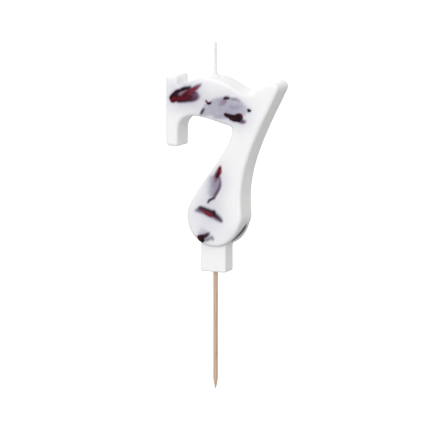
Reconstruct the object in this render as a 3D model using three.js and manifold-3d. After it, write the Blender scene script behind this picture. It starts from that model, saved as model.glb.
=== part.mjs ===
// Number birthday candle: a moulded wax "7" with dried petals in its skin, on a wooden cake pick.
//
// Frame: millimetres, +Z up, X across the numeral, and the numeral's front looks along -Y.
// The origin is the centre of the pick's exit from the flat underside of the peg.

import * as THREE from 'three';
import { mergeVertices } from 'three/addons/utils/BufferGeometryUtils.js';
import Module from 'manifold-3d';

const wasm = await Module();
wasm.setup();

// ---------------------------------------------------------------- sizes

const CLEARANCE = 0.3; // between the wax and everything that is set in it

const NUMERAL = {
  depth: 11.3,
  draft: 0.4, // how much smaller the outline is at the front, where the mould's floor was
  frontRounding: 1.2,
  backChamfer: 0.2,
};

const SERIF = {
  left: -22.8,
  right: -16.1,
  bottom: 56,
  top: 88.6,
  bottomLeftRadius: 2.2,
  bottomRightRadius: 1,
  topRightRadius: 1.6,
  topLeftRadius: 0.7,
};

const BOWL = { x: 1.1, z: 25, radius: 13.4, stemAngle: 157, sideAngle: -20 };

const PEG = { width: 12.4, depth: 8.7, height: 16, cornerRadius: 0.8, bottomBevel: 0.5 };

const PICK = { diameter: 2.1, length: 65, tipLength: 5.5, tipRadius: 0.15, buried: 11.5 };

const WICK = { diameter: 1.2, length: 28.4, buried: 12.9, topRadius: 0.45, topTaper: 0.5 };

const CONE = { height: 4.6, topWall: 0.25, baseRadius: 2.1, sunk: 1.2, waistHeight: 1.6, waistShare: 0.3 };

const PETAL = { thickness: 0.45, endHalfWidth: 0.22, stations: 18, sunk: 0.1 };

const FRONT_Y = -NUMERAL.depth / 2;
const BACK_Y = NUMERAL.depth / 2;

// The numeral's curved side is drawn through these knots, anticlockwise from the serif's inner side. heading is
// the direction of travel in degrees from +X towards +Z, and arrive and leave are the curve's handle lengths.
const KNOTS = {
  spring: { x: SERIF.right, z: 63.8, heading: 90, leave: 4.6 },
  hollowTop: { x: -8, z: 70.5, heading: 0, arrive: 4.5, leave: 5.5 },
  cornerStart: { x: 8.8, z: 67.2, heading: -11, arrive: 5.9, leave: 0.9 },
  cornerEnd: { x: 10, z: 65.4, heading: -94, arrive: 0.9, leave: 8.4 },
  stemLeft: bowlKnot(BOWL.stemAngle, 9),
  bowlSide: bowlKnot(BOWL.sideAngle, 2.2),
  bowlShoulder: { x: 15.4, z: 26.6, heading: 92, arrive: 2.4, leave: 2.4 },
  stemRight: { x: 15.1, z: 34.5, heading: 90, arrive: 3, leave: 17 },
  hornSide: { x: 33, z: 84.3, heading: 64, arrive: 18, leave: 2.8 },
  hornTop: { x: 29.8, z: 88.6, heading: 184, arrive: 2.8, leave: 4.5 },
  dip: { x: 18.6, z: 82.9, heading: 180, arrive: 3.7, leave: 7.1 },
  crest: { x: -0.8, z: 89, heading: 180, arrive: 9.2, leave: 5 },
  valleyArm: { x: SERIF.right + 1.1, z: 84.6, heading: 207, arrive: 5.7, leave: 0.7 },
  valleySerif: { x: SERIF.right, z: 85.4, heading: 90, arrive: 0.8 },
};

// A knot on the bowl's circle, where the curve enters or leaves it.
function bowlKnot(angle, handle) {
  return { ...inBowl(angle, 1), heading: angle + 90, arrive: handle, leave: handle };
}

// The place at a share of the bowl's radius from its centre.
function inBowl(angle, share) {
  const turn = THREE.MathUtils.degToRad(angle);
  const reach = BOWL.radius * share;
  return { x: BOWL.x + reach * Math.cos(turn), z: BOWL.z + reach * Math.sin(turn) };
}

const SERIF_MIDDLE = (SERIF.left + SERIF.right) / 2;
const SERIF_PETAL_X = SERIF.right + 3.3; // the large petal lies across the join of the serif and the arm

// Each petal lies in its own shallow pocket: on the front or the back, turned by angle, or round the bowl's side
// wall, at wallAngle and y. bend bows it sideways, skew moves its widest point towards one end, and sunk is how far
// its outer surface lies under the wax.
const FRONT_PETALS = [
  { name: 'petal_serif', x: SERIF_PETAL_X, z: 79.7, angle: 20, length: 16.4, width: 5, bend: 0.9, skew: -0.15 },
  { name: 'petal_arm_chip', x: -1.4, z: 78, angle: -25, length: 3.2, width: 1.4, bend: -0.4 },
  { name: 'petal_arm_veil', x: 8.2, z: 76.4, angle: 14, length: 20.5, width: 5.6, bend: 0.9, sunk: 0.45 },
  { name: 'petal_arm_folded', x: 12.6, z: 71.2, angle: -10, length: 10.4, width: 3, bend: 0.2, skew: 0.2 },
  { name: 'petal_arm_speck', x: 19.9, z: 75.4, angle: -35, length: 2.4, width: 1.1 },
  { name: 'petal_stem', x: 2.4, z: 40.7, angle: 71, length: 18.2, width: 5.8, bend: 0.3, skew: -0.15 },
  { name: 'petal_bowl', ...inBowl(134, 0.206), angle: -19, length: 14.4, width: 3.4, bend: 0.7 },
  { name: 'petal_foot', ...inBowl(-110, 0.65), angle: 28, length: 7.4, width: 2.8 },
];

const WALL_PETALS = [
  { name: 'petal_wall_right', wallAngle: -33, y: -2.3, length: 8.4, width: 2.4, bend: 0.2, sunk: 0.3 },
  { name: 'petal_wall_left', wallAngle: -172, y: 0.6, length: 9.5, width: 3.2, bend: -0.3, sunk: 0.3 },
];

const BACK_PETALS = [
  { name: 'petal_back_serif', x: SERIF_MIDDLE, z: 67, angle: 84, length: 10, width: 2.8, bend: 0.2 },
  { name: 'petal_back_arm', x: 2.6, z: 79.4, angle: 11, length: 16, width: 5.2, bend: 0.8, skew: 0.15 },
  { name: 'petal_back_horn', x: 25, z: 79.8, angle: 48, length: 8, width: 2.8, bend: -0.3 },
  { name: 'petal_back_stem', x: 12, z: 56, angle: 62, length: 13, width: 4, bend: -0.5, skew: 0.2 },
  { name: 'petal_back_bowl', ...inBowl(102, 0.2), angle: -38, length: 13.5, width: 4.8, bend: 0.6 },
  { name: 'petal_back_foot', ...inBowl(-54, 0.71), angle: 35, length: 6, width: 2.2, bend: 0.2 },
];

const PETALS = [
  ...FRONT_PETALS.map((petal) => ({ face: 'front', ...petal })),
  ...WALL_PETALS.map((petal) => ({ face: 'wall', ...petal })),
  ...BACK_PETALS.map((petal) => ({ face: 'back', ...petal })),
];

// ---------------------------------------------------------------- colours

const WAX = new THREE.MeshStandardMaterial({ color: '#f3f1f5', roughness: 0.45, metalness: 0 });
const COTTON = new THREE.MeshStandardMaterial({ color: '#eeece6', roughness: 0.85, metalness: 0 });
const BIRCH = new THREE.MeshStandardMaterial({ color: '#c2a08a', roughness: 0.8, metalness: 0 });
const DRIED_PETAL = new THREE.MeshStandardMaterial({ color: '#5a0f1d', roughness: 0.7, metalness: 0 });

// ---------------------------------------------------------------- closed meshes and booleans

function toSolid(geometry) {
  const bare = geometry.clone();
  bare.deleteAttribute('normal');
  bare.deleteAttribute('uv');
  const merged = mergeVertices(bare, 1e-4);
  return new wasm.Manifold(new wasm.Mesh({
    numProp: 3,
    vertProperties: new Float32Array(merged.attributes.position.array),
    triVerts: new Uint32Array(merged.index.array),
  }));
}

function toGeometry(solid) {
  const mesh = solid.getMesh();
  const geometry = new THREE.BufferGeometry();
  geometry.setAttribute('position', new THREE.BufferAttribute(mesh.vertProperties, 3));
  geometry.setIndex(new THREE.BufferAttribute(mesh.triVerts, 1));
  geometry.computeVertexNormals();
  return geometry;
}

// Skins a row of closed rings, each a list of THREE.Vector3 in the same order, and closes both ends with the
// given triangles. The rings run anticlockwise when they are looked at against the direction of the row.
function skinRings(rings, firstCap, lastCap) {
  const count = rings[0].length;
  const positions = rings.flat().flatMap((point) => point.toArray());
  const triangles = [];
  for (let ring = 0; ring < rings.length - 1; ring++) {
    for (let i = 0; i < count; i++) {
      const near = ring * count + i;
      const nearNext = ring * count + ((i + 1) % count);
      triangles.push(near, nearNext, nearNext + count, near, nearNext + count, near + count);
    }
  }
  const last = (rings.length - 1) * count;
  for (const [a, b, c] of firstCap) triangles.push(a, c, b);
  for (const [a, b, c] of lastCap) triangles.push(last + a, last + b, last + c);
  const geometry = new THREE.BufferGeometry();
  geometry.setAttribute('position', new THREE.Float32BufferAttribute(positions, 3));
  geometry.setIndex(triangles);
  geometry.computeVertexNormals();
  return geometry;
}

// ---------------------------------------------------------------- the numeral's outline

// A rounded corner between the serif's straight sides, moved into the wax by inset. inwardX and inwardZ point
// from the corner into the wax. The arc turns a quarter circle from startAngle.
function serifCorner(corner, inwardX, inwardZ, radius, startAngle, inset) {
  const smallest = 0.12;
  const steps = 4;
  const arcRadius = Math.max(radius - inset, smallest);
  const centreX = corner.x + inwardX * (inset + arcRadius);
  const centreZ = corner.z + inwardZ * (inset + arcRadius);
  const points = [];
  for (let step = 0; step <= steps; step++) {
    const angle = THREE.MathUtils.degToRad(startAngle + (90 * step) / steps);
    points.push(new THREE.Vector2(
      centreX + arcRadius * Math.cos(angle),
      centreZ + arcRadius * Math.sin(angle),
    ));
  }
  return points;
}

function curveBetween(path, from, to) {
  const leaving = THREE.MathUtils.degToRad(from.heading);
  const arriving = THREE.MathUtils.degToRad(to.heading);
  path.bezierCurveTo(
    from.x + from.leave * Math.cos(leaving), from.z + from.leave * Math.sin(leaving),
    to.x - to.arrive * Math.cos(arriving), to.z - to.arrive * Math.sin(arriving),
    to.x, to.z,
  );
}

// The numeral's curved side: under the arm, down the stem, round the bowl, and back over the horn and the crest.
function bodyPath() {
  const knots = Object.values(KNOTS);
  const path = new THREE.Path();
  path.moveTo(knots[0].x, knots[0].z);
  knots.slice(1).forEach((knot, i) => {
    if (knot === KNOTS.bowlSide) {
      const stemAngle = THREE.MathUtils.degToRad(BOWL.stemAngle);
      const sideAngle = THREE.MathUtils.degToRad(360 + BOWL.sideAngle);
      path.absarc(BOWL.x, BOWL.z, BOWL.radius, stemAngle, sideAngle, false);
    } else {
      curveBetween(path, knots[i], knot);
    }
  });
  return path;
}

const BODY_SAMPLES = sampleSide(bodyPath());

// Points along the body's path with the direction from each into the wax.
function sampleSide(path) {
  const spacing = 1.1;
  const samples = [];
  for (const curve of path.curves) {
    const divisions = Math.max(5, Math.ceil(curve.getLength() / spacing));
    for (let i = samples.length ? 1 : 0; i <= divisions; i++) {
      const share = i / divisions;
      const tangent = curve.getTangent(share);
      samples.push({ point: curve.getPoint(share), inward: new THREE.Vector2(-tangent.y, tangent.x) });
    }
  }
  return samples;
}

function numeralOutline(inset) {
  const { left, right, bottom, top } = SERIF;
  return [
    ...serifCorner({ x: left, z: bottom }, 1, 1, SERIF.bottomLeftRadius, 180, inset),
    ...serifCorner({ x: right, z: bottom }, -1, 1, SERIF.bottomRightRadius, 270, inset),
    ...BODY_SAMPLES.map(({ point, inward }) => point.clone().addScaledVector(inward, inset)),
    ...serifCorner({ x: right, z: top }, -1, -1, SERIF.topRightRadius, 0, inset),
    ...serifCorner({ x: left, z: top }, 1, -1, SERIF.topLeftRadius, 90, inset),
  ];
}

// ---------------------------------------------------------------- wax casting

function numeralBlock() {
  const { draft, frontRounding, backChamfer } = NUMERAL;
  const roundingSteps = 5;
  const levels = [
    { y: BACK_Y, inset: backChamfer },
    { y: BACK_Y - backChamfer, inset: 0 },
  ];
  for (let step = 0; step <= roundingSteps; step++) {
    const angle = ((Math.PI / 2) * step) / roundingSteps;
    levels.push({
      y: FRONT_Y + frontRounding * (1 - Math.sin(angle)),
      inset: draft + frontRounding * (1 - Math.cos(angle)),
    });
  }
  const rings = levels.map(({ y, inset }) => numeralOutline(inset).map((point) => (
    new THREE.Vector3(point.x, y, point.y)
  )));
  const capOf = (level) => THREE.ShapeUtils.triangulateShape(numeralOutline(level.inset), []);
  return skinRings(rings, capOf(levels[0]), capOf(levels[levels.length - 1]));
}

function roundedRectangle(width, depth, radius) {
  const shape = new THREE.Shape();
  const x = width / 2;
  const y = depth / 2;
  shape.moveTo(-x + radius, -y);
  shape.lineTo(x - radius, -y);
  shape.absarc(x - radius, -y + radius, radius, -Math.PI / 2, 0);
  shape.lineTo(x, y - radius);
  shape.absarc(x - radius, y - radius, radius, 0, Math.PI / 2);
  shape.lineTo(-x + radius, y);
  shape.absarc(-x + radius, y - radius, radius, Math.PI / 2, Math.PI);
  shape.lineTo(-x, -y + radius);
  shape.absarc(-x + radius, -y + radius, radius, Math.PI, Math.PI * 1.5);
  return shape;
}

// The peg that the pick goes into. Its back is flush with the numeral's, and it is shallower than the bowl.
function pegBlock() {
  const bevel = PEG.bottomBevel;
  const shape = roundedRectangle(PEG.width - 2 * bevel, PEG.depth - 2 * bevel, PEG.cornerRadius - bevel);
  const geometry = new THREE.ExtrudeGeometry(shape, {
    depth: PEG.height - 2 * bevel,
    bevelThickness: bevel,
    bevelSize: bevel,
    bevelSegments: 3,
    curveSegments: 6,
  });
  geometry.translate(0, BACK_Y - PEG.depth / 2, bevel);
  return geometry;
}

function boreAlongZ(radius, bottom, top) {
  const segments = 28;
  const geometry = new THREE.CylinderGeometry(radius, radius, top - bottom, segments);
  geometry.rotateX(Math.PI / 2);
  geometry.translate(0, 0, (top + bottom) / 2);
  return geometry;
}

function lathedAlongZ(profile, segments) {
  const points = profile.map(([radius, z]) => new THREE.Vector2(radius, z));
  const geometry = new THREE.LatheGeometry(points, segments);
  geometry.rotateX(Math.PI / 2);
  return geometry;
}

// Height of the arm's top where the wick stands, at x = 0.
function crestHeight() {
  const overWick = BODY_SAMPLES.filter(({ point }) => point.y > KNOTS.dip.z);
  const nearest = overWick.reduce((best, sample) => (
    Math.abs(sample.point.x) < Math.abs(best.point.x) ? sample : best
  ));
  return nearest.point.y;
}

const CREST_Z = crestHeight();
const WICK_BORE_RADIUS = WICK.diameter / 2 + CLEARANCE;
const PICK_BORE_RADIUS = PICK.diameter / 2 + CLEARANCE;

// The small cone that the wax draws up round the foot of the wick.
function wickCone() {
  const topRadius = WICK_BORE_RADIUS + CONE.topWall;
  return lathedAlongZ([
    [0, CREST_Z - CONE.sunk],
    [CONE.baseRadius, CREST_Z - CONE.sunk],
    [CONE.baseRadius, CREST_Z],
    [THREE.MathUtils.lerp(topRadius, CONE.baseRadius, CONE.waistShare), CREST_Z + CONE.waistHeight],
    [topRadius, CREST_Z + CONE.height],
    [0, CREST_Z + CONE.height],
  ], 24);
}

// ---------------------------------------------------------------- petals

// Where a point of a petal lies: along and across place it on the face, and under is its depth in the wax.
function petalPlace(petal, along, across, under) {
  const angle = THREE.MathUtils.degToRad(petal.angle ?? 0);
  if (petal.face === 'wall') {
    const wallAngle = THREE.MathUtils.degToRad(petal.wallAngle) + along / BOWL.radius;
    const radius = BOWL.radius - under;
    return new THREE.Vector3(
      BOWL.x + radius * Math.cos(wallAngle),
      petal.y + across,
      BOWL.z + radius * Math.sin(wallAngle),
    );
  }
  const x = petal.x + along * Math.cos(angle) - across * Math.sin(angle);
  const z = petal.z + along * Math.sin(angle) + across * Math.cos(angle);
  return new THREE.Vector3(x, petal.face === 'front' ? FRONT_Y + under : BACK_Y - under, z);
}

// A leaf-shaped slab from upperDepth to lowerDepth under the face, grown sideways by margin.
function petalSlab(petal, upperDepth, lowerDepth, margin) {
  const { bend = 0, skew = 0 } = petal;
  const rings = [];
  for (let station = 0; station <= PETAL.stations; station++) {
    const s = -Math.cos((Math.PI * station) / PETAL.stations);
    const widest = s - skew * (1 - s * s);
    const halfWidth = PETAL.endHalfWidth + (petal.width / 2 - PETAL.endHalfWidth) * (1 - widest ** 2) ** 0.7;
    const along = s * (petal.length / 2 + margin);
    const middle = bend * (1 - s * s);
    const reach = halfWidth + margin;
    rings.push([
      petalPlace(petal, along, middle - reach, upperDepth),
      petalPlace(petal, along, middle - reach, lowerDepth),
      petalPlace(petal, along, middle + reach, lowerDepth),
      petalPlace(petal, along, middle + reach, upperDepth),
    ]);
  }
  const ordered = petal.face === 'front' ? rings : rings.map((ring) => [...ring].reverse());
  const end = [[0, 1, 2], [0, 2, 3]];
  return skinRings(ordered, end, end);
}

function sunkDepth(petal) {
  return petal.sunk ?? PETAL.sunk;
}

function petalBody(petal) {
  return petalSlab(petal, sunkDepth(petal), sunkDepth(petal) + PETAL.thickness, 0);
}

function petalPocket(petal) {
  const overshoot = 1;
  const floor = sunkDepth(petal) + PETAL.thickness + CLEARANCE;
  return petalSlab(petal, -overshoot, floor, CLEARANCE * 1.15);
}

// ---------------------------------------------------------------- the pieces

function waxNumeral() {
  const overshoot = 1;
  const coneTop = CREST_Z + CONE.height;
  const pickBore = boreAlongZ(PICK_BORE_RADIUS, -overshoot, PICK.buried + CLEARANCE);
  const wickBore = boreAlongZ(WICK_BORE_RADIUS, CREST_Z - WICK.buried - CLEARANCE, coneTop + overshoot);
  let casting = toSolid(numeralBlock()).add(toSolid(pegBlock())).add(toSolid(wickCone()));
  casting = casting.subtract(toSolid(pickBore)).subtract(toSolid(wickBore));
  for (const petal of PETALS) casting = casting.subtract(toSolid(petalPocket(petal)));
  return toGeometry(casting);
}

function cottonWick() {
  const radius = WICK.diameter / 2;
  const bottom = CREST_Z - WICK.buried;
  const top = bottom + WICK.length;
  return lathedAlongZ([
    [0, bottom],
    [radius, bottom],
    [radius, top - WICK.topTaper],
    [WICK.topRadius, top],
    [0, top],
  ], 16);
}

// A double-pointed round toothpick.
function woodenPick() {
  const radius = PICK.diameter / 2;
  const top = PICK.buried;
  const bottom = top - PICK.length;
  const tipSteps = 6;
  const tip = [];
  for (let step = 0; step <= tipSteps; step++) {
    const share = step / tipSteps;
    tip.push([
      PICK.tipRadius + (radius - PICK.tipRadius) * Math.sin((share * Math.PI) / 2),
      share * PICK.tipLength,
    ]);
  }
  return lathedAlongZ([
    [0, bottom],
    ...tip.map(([tipRadius, rise]) => [tipRadius, bottom + rise]),
    ...tip.reverse().map(([tipRadius, rise]) => [tipRadius, top - rise]),
    [0, top],
  ], 24);
}

function piece(name, geometry, material) {
  const mesh = new THREE.Mesh(geometry, material);
  mesh.name = name;
  return mesh;
}

const candle = new THREE.Group();
candle.add(
  piece('wax_numeral', waxNumeral(), WAX),
  piece('cotton_wick', cottonWick(), COTTON),
  piece('wooden_pick', woodenPick(), BIRCH),
  ...PETALS.map((petal) => piece(petal.name, petalBody(petal), DRIED_PETAL)),
);

export default candle;
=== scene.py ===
"""Looks of a number birthday candle: a white wax seven with dried petals in its skin.

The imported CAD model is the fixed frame. The wax is rebuilt as one continuous skin over the CAD outline, the
petals are thin creased sheets that dive in and out of that skin, and the wax over each sunk petal takes its
colour from how deep the petal lies. Sizes are in millimetres unless a name says otherwise.
"""

from __future__ import annotations

import logging
import math
import random
from dataclasses import dataclass, field
from enum import Enum
from functools import partial
from typing import Any, Sequence

import bmesh
import bpy
import numpy as np
from mathutils import Matrix, Vector, noise
from mathutils.bvhtree import BVHTree

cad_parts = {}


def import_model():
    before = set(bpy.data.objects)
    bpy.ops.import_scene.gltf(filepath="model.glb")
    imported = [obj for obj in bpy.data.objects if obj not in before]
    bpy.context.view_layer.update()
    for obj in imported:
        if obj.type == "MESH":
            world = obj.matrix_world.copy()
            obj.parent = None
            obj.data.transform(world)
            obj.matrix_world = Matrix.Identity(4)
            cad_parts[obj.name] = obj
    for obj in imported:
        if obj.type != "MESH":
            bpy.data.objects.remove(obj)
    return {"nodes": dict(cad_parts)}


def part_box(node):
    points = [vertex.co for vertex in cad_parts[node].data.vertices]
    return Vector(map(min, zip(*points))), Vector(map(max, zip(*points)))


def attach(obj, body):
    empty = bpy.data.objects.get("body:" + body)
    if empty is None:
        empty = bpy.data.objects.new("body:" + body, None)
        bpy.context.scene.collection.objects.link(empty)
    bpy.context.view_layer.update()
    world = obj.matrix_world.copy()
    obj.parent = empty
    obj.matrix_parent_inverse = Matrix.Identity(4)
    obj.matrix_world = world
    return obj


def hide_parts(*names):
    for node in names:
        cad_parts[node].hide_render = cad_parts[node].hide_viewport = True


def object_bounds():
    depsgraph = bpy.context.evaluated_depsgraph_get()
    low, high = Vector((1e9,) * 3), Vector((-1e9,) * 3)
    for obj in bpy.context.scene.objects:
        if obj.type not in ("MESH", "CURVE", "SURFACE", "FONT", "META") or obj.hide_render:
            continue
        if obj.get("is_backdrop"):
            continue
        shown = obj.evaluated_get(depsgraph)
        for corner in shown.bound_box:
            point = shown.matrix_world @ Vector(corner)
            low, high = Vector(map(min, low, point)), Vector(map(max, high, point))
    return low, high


MM = 0.001
WHITE = "#ffffff"
TONE, BLUSH = "petal_tone", "blush"
LOG = logging.getLogger("candle")

Pair = tuple[float, float]
Point = tuple[float, float]
Colour = tuple[float, float, float, float]


def linear(code: str) -> Colour:
    """Turn an sRGB hex colour into linear light.

    Args:
        code: The colour as "#rrggbb".

    Returns:
        Red, green, blue and an alpha of 1.
    """
    parts = [int(code[i : i + 2], 16) / 255 for i in (1, 3, 5)]
    red, green, blue = (c / 12.92 if c <= 0.04045 else ((c + 0.055) / 1.055) ** 2.4 for c in parts)
    return red, green, blue, 1.0


def rgb(code: str) -> np.ndarray:
    """Return an sRGB hex colour's linear red, green and blue."""
    return np.array(linear(code)[:3])


def between(ends: Pair, share: float) -> float:
    """Return the value that lies a share of the way from the first end to the second."""
    return ends[0] + (ends[1] - ends[0]) * share


def scale_of(size: float) -> float:
    """Return the scale of a pattern on Object coordinates from its real size."""
    return 1 / (size * MM)


def node_box(node: str) -> tuple[Vector, Vector]:
    """Return the low and the high corner of a CAD node, in millimetres."""
    low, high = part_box(node)
    return Vector(low) / MM, Vector(high) / MM


def add_node(
    owner: bpy.types.Material | bpy.types.World,
    kind: str,
    inputs: dict[str | int, Any] | None = None,
    **settings: Any,
) -> bpy.types.Node:
    """Add a node with its settings and links.

    Args:
        owner: The material or world whose tree gets the node.
        kind: The node's type name.
        inputs: Input sockets by name or index, each given a value or linked from an output socket.
        **settings: Properties of the node.

    Returns:
        The new node.
    """
    tree = owner.node_tree
    node = tree.nodes.new(kind)
    for name, value in settings.items():
        setattr(node, name, value)
    for socket, value in (inputs or {}).items():
        if isinstance(value, bpy.types.NodeSocket):
            tree.links.new(value, node.inputs[socket])
        else:
            node.inputs[socket].default_value = value
    return node


def new_material(name: str) -> bpy.types.Material:
    """Make a material with an empty node tree.

    Args:
        name: The material's name.

    Returns:
        The material.
    """
    material = bpy.data.materials.new(name)
    material.use_nodes = True
    material.node_tree.nodes.clear()
    return material


def shows_background(owner: bpy.types.Material | bpy.types.World) -> bpy.types.NodeSocket:
    """Tell the rays that show the white background: those of the camera, of gloss and of transmission.

    Args:
        owner: The material or world that shows it.

    Returns:
        An output that is 1 for those rays and 0 for others.
    """
    path = add_node(owner, "ShaderNodeLightPath")
    shows = path.outputs["Is Camera Ray"]
    for other in ("Is Glossy Ray", "Is Transmission Ray"):
        inputs = {0: shows, 1: path.outputs[other]}
        shows = add_node(owner, "ShaderNodeMath", inputs, operation="MAXIMUM").outputs["Value"]
    return shows


def set_ramp(node: bpy.types.Node, stops: Sequence[tuple[float, str]]) -> None:
    """Give a colour ramp node its stops.

    Args:
        node: The colour ramp node.
        stops: Positions from 0 to 1 with their sRGB hex colours, in order.
    """
    elements = node.color_ramp.elements
    while len(elements) < len(stops):
        elements.new(1.0)
    for element, (position, code) in zip(elements, stops):
        element.position = position
        element.color = linear(code)


def link_object(name: str, data: bpy.types.ID) -> bpy.types.Object:
    """Make an object of a mesh, a light or a camera, at the origin, and put it in the scene.

    Args:
        name: The object's name.
        data: The mesh, light or camera.

    Returns:
        The new object.
    """
    made = bpy.data.objects.new(name, data)
    bpy.context.collection.objects.link(made)
    return made


def to_object(name: str, bm: bmesh.types.BMesh, material: bpy.types.Material) -> bpy.types.Object:
    """Make a smooth-shaded object at the origin from a bmesh, and free the bmesh.

    Args:
        name: The object's name.
        bm: Its mesh, in metres.
        material: Its one material.

    Returns:
        The new object.
    """
    mesh = bpy.data.meshes.new(name)
    bm.to_mesh(mesh)
    bm.free()
    mesh.shade_smooth()
    mesh.materials.append(material)
    return link_object(name, mesh)


def new_vertices(made: dict[str, list[Any]]) -> list[bmesh.types.BMVert]:
    """Return the vertices among what a bmesh operator made."""
    return [item for item in made["geom"] if isinstance(item, bmesh.types.BMVert)]


def spin_solid(bm: bmesh.types.BMesh, chain: list[bmesh.types.BMVert], steps: int) -> None:
    """Spin a profile once round Z and close its two ends.

    Args:
        bm: The mesh that holds the profile.
        chain: The profile's vertices from one end to the other.
        steps: How many sides the solid gets.
    """
    edges = [bm.edges.new(pair) for pair in zip(chain, chain[1:])]
    turn = 2 * math.pi
    bmesh.ops.spin(bm, geom=chain + edges, axis=(0, 0, 1), angle=turn, steps=steps, use_merge=True)
    bmesh.ops.holes_fill(bm, edges=bm.edges[:])
    bmesh.ops.recalc_face_normals(bm, faces=bm.faces[:])


def enlist(piece: bpy.types.Object, slot: str, *nodes: str) -> None:
    """Put a finished piece in the frame.

    Args:
        piece: The finished object.
        slot: The record's material slot for its finish; not used.
        *nodes: The CAD nodes that it stands for.
    """
    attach(piece, "root")
    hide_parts(*nodes)
    LOG.info("%s: %d faces", piece.name, len(piece.data.polygons))


# ---------------------------------------------------------------- finishes


@dataclass(frozen=True)
class CastWax:
    """Candle wax poured in a mould: milky, softly glossy, and see-through for the first half millimetre."""

    body: str = "#f7f6f9"
    cloud: str = "#f1f0f5"
    roughness: float = 0.48
    ior: float = 1.44
    cloud_size: float = 9.0
    ripple_size: float = 2.6
    grain_size: float = 0.5  # the real grain is finer, drawn this coarse so that it shows

    def make(self) -> bpy.types.Material:
        """Build the wax, which shows the colour attribute petal_tint_and_cone_shade as far as its alpha says.

        Returns:
            The material.
        """
        wax = new_material("cast_wax")
        add = partial(add_node, wax)
        place = add("ShaderNodeTexCoord").outputs["Object"]
        inputs = {"Vector": place, "Scale": scale_of(self.cloud_size), "Detail": 3.0, "Roughness": 0.55}
        clouds = add("ShaderNodeTexNoise", inputs)
        inputs = {"Factor": clouds.outputs["Fac"], "A": linear(self.body), "B": linear(self.cloud)}
        milk = add("ShaderNodeMix", inputs, data_type="RGBA")
        # This attribute holds the petals' stains and the painted shade on the cone at the wick's foot.
        tint = add("ShaderNodeAttribute", attribute_name="petal_tint_and_cone_shade")
        inputs = {"Factor": tint.outputs["Alpha"], "A": milk.outputs["Result"], "B": tint.outputs["Color"]}
        colour = add("ShaderNodeMix", inputs, data_type="RGBA")
        inputs = {"Vector": place, "Scale": scale_of(self.ripple_size), "Detail": 2.0}
        ripple = add("ShaderNodeTexNoise", inputs).outputs["Fac"]
        inputs = {"Vector": place, "Scale": scale_of(self.grain_size), "Detail": 2.0}
        grain = add("ShaderNodeTexNoise", inputs).outputs["Fac"]
        inputs = {"Strength": 0.25, "Distance": 0.1 * MM, "Height": ripple}
        soft = add("ShaderNodeBump", inputs).outputs["Normal"]
        inputs = {"Strength": 0.12, "Distance": 0.04 * MM, "Height": grain, "Normal": soft}
        fine = add("ShaderNodeBump", inputs).outputs["Normal"]
        inputs = {"Value": ripple, "To Min": self.roughness - 0.06, "To Max": self.roughness + 0.08}
        gloss = add("ShaderNodeMapRange", inputs)
        inputs = {
            "Base Color": colour.outputs["Result"],
            "Roughness": gloss.outputs["Result"],
            "IOR": self.ior,
            "Specular IOR Level": 0.16,
            "Subsurface Weight": 0.2,
            "Subsurface Radius": (1.0, 0.85, 0.8),
            "Subsurface Scale": 0.9 * MM,
            "Normal": fine,
        }
        shader = add("ShaderNodeBsdfPrincipled", inputs)
        add("ShaderNodeOutputMaterial", {"Surface": shader.outputs["BSDF"]})
        return wax


@dataclass(frozen=True)
class DriedPetal:
    """A rose petal dried flat: dark crimson that turns near black where it folds, with fine long veins."""

    crimson: str = "#7c0a20"
    wine: str = "#4a0818"
    maroon: str = "#280610"
    black: str = "#100509"
    roughness: float = 0.58
    ior: float = 1.42
    vein_count: float = 7.0
    blotch_size: float = 1.6

    def tones(self) -> tuple[str, ...]:
        """Return the petal's colours, lightest first."""
        return self.crimson, self.wine, self.maroon, self.black

    def colour(self, tone: float) -> np.ndarray:
        """Find the colour of a tone.

        Args:
            tone: From 0, crimson, to 1, near black.

        Returns:
            Its linear red, green and blue.
        """
        stops = [rgb(code) for code in self.tones()]
        place = min(max(tone, 0.0), 1.0) * (len(stops) - 1)
        low = min(int(place), len(stops) - 2)
        return stops[low] + (stops[low + 1] - stops[low]) * (place - low)

    def make(self) -> bpy.types.Material:
        """Build the petal material, which reads the attribute petal_tone.

        Returns:
            The material.
        """
        petal = new_material("dried_petal")
        add = partial(add_node, petal)
        along = add("ShaderNodeUVMap", uv_map="along_fold").outputs["UV"]
        place = add("ShaderNodeTexCoord").outputs["Object"]
        drawn = add("ShaderNodeMapping", {"Vector": along, "Scale": (1.2, self.vein_count, 1.0)})
        inputs = {"Vector": drawn.outputs["Vector"], "Scale": 3.0, "Detail": 3.0, "Distortion": 0.4}
        veins = add("ShaderNodeTexNoise", inputs).outputs["Fac"]
        inputs = {"Vector": place, "Scale": scale_of(self.blotch_size), "Detail": 4.0}
        blotches = add("ShaderNodeTexNoise", inputs).outputs["Fac"]
        shade = add("ShaderNodeAttribute", attribute_name=TONE).outputs["Fac"]
        for pattern, least, most, lighter, darker in (
            (veins, 0.35, 0.7, -0.16, 0.2),
            (blotches, 0.3, 0.7, -0.14, 0.14),
        ):
            inputs = {"From Min": least, "From Max": most, "To Min": lighter, "To Max": darker}
            change = add("ShaderNodeMapRange", inputs | {"Value": pattern}).outputs["Result"]
            shade = add("ShaderNodeMath", {0: shade, 1: change}, operation="ADD").outputs["Value"]
        ramp = add("ShaderNodeValToRGB", {"Fac": shade})
        set_ramp(ramp, list(zip((0.0, 0.33, 0.67, 1.0), self.tones())))
        bump = add("ShaderNodeBump", {"Strength": 0.5, "Distance": 0.05 * MM, "Height": veins})
        inputs = {
            "Base Color": ramp.outputs["Color"],
            "Roughness": self.roughness,
            "IOR": self.ior,
            "Specular IOR Level": 0.12,
            "Sheen Weight": 0.06,
            "Sheen Roughness": 0.4,
            "Normal": bump.outputs["Normal"],
        }
        shader = add("ShaderNodeBsdfPrincipled", inputs)
        add("ShaderNodeOutputMaterial", {"Surface": shader.outputs["BSDF"]})
        return petal


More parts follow.
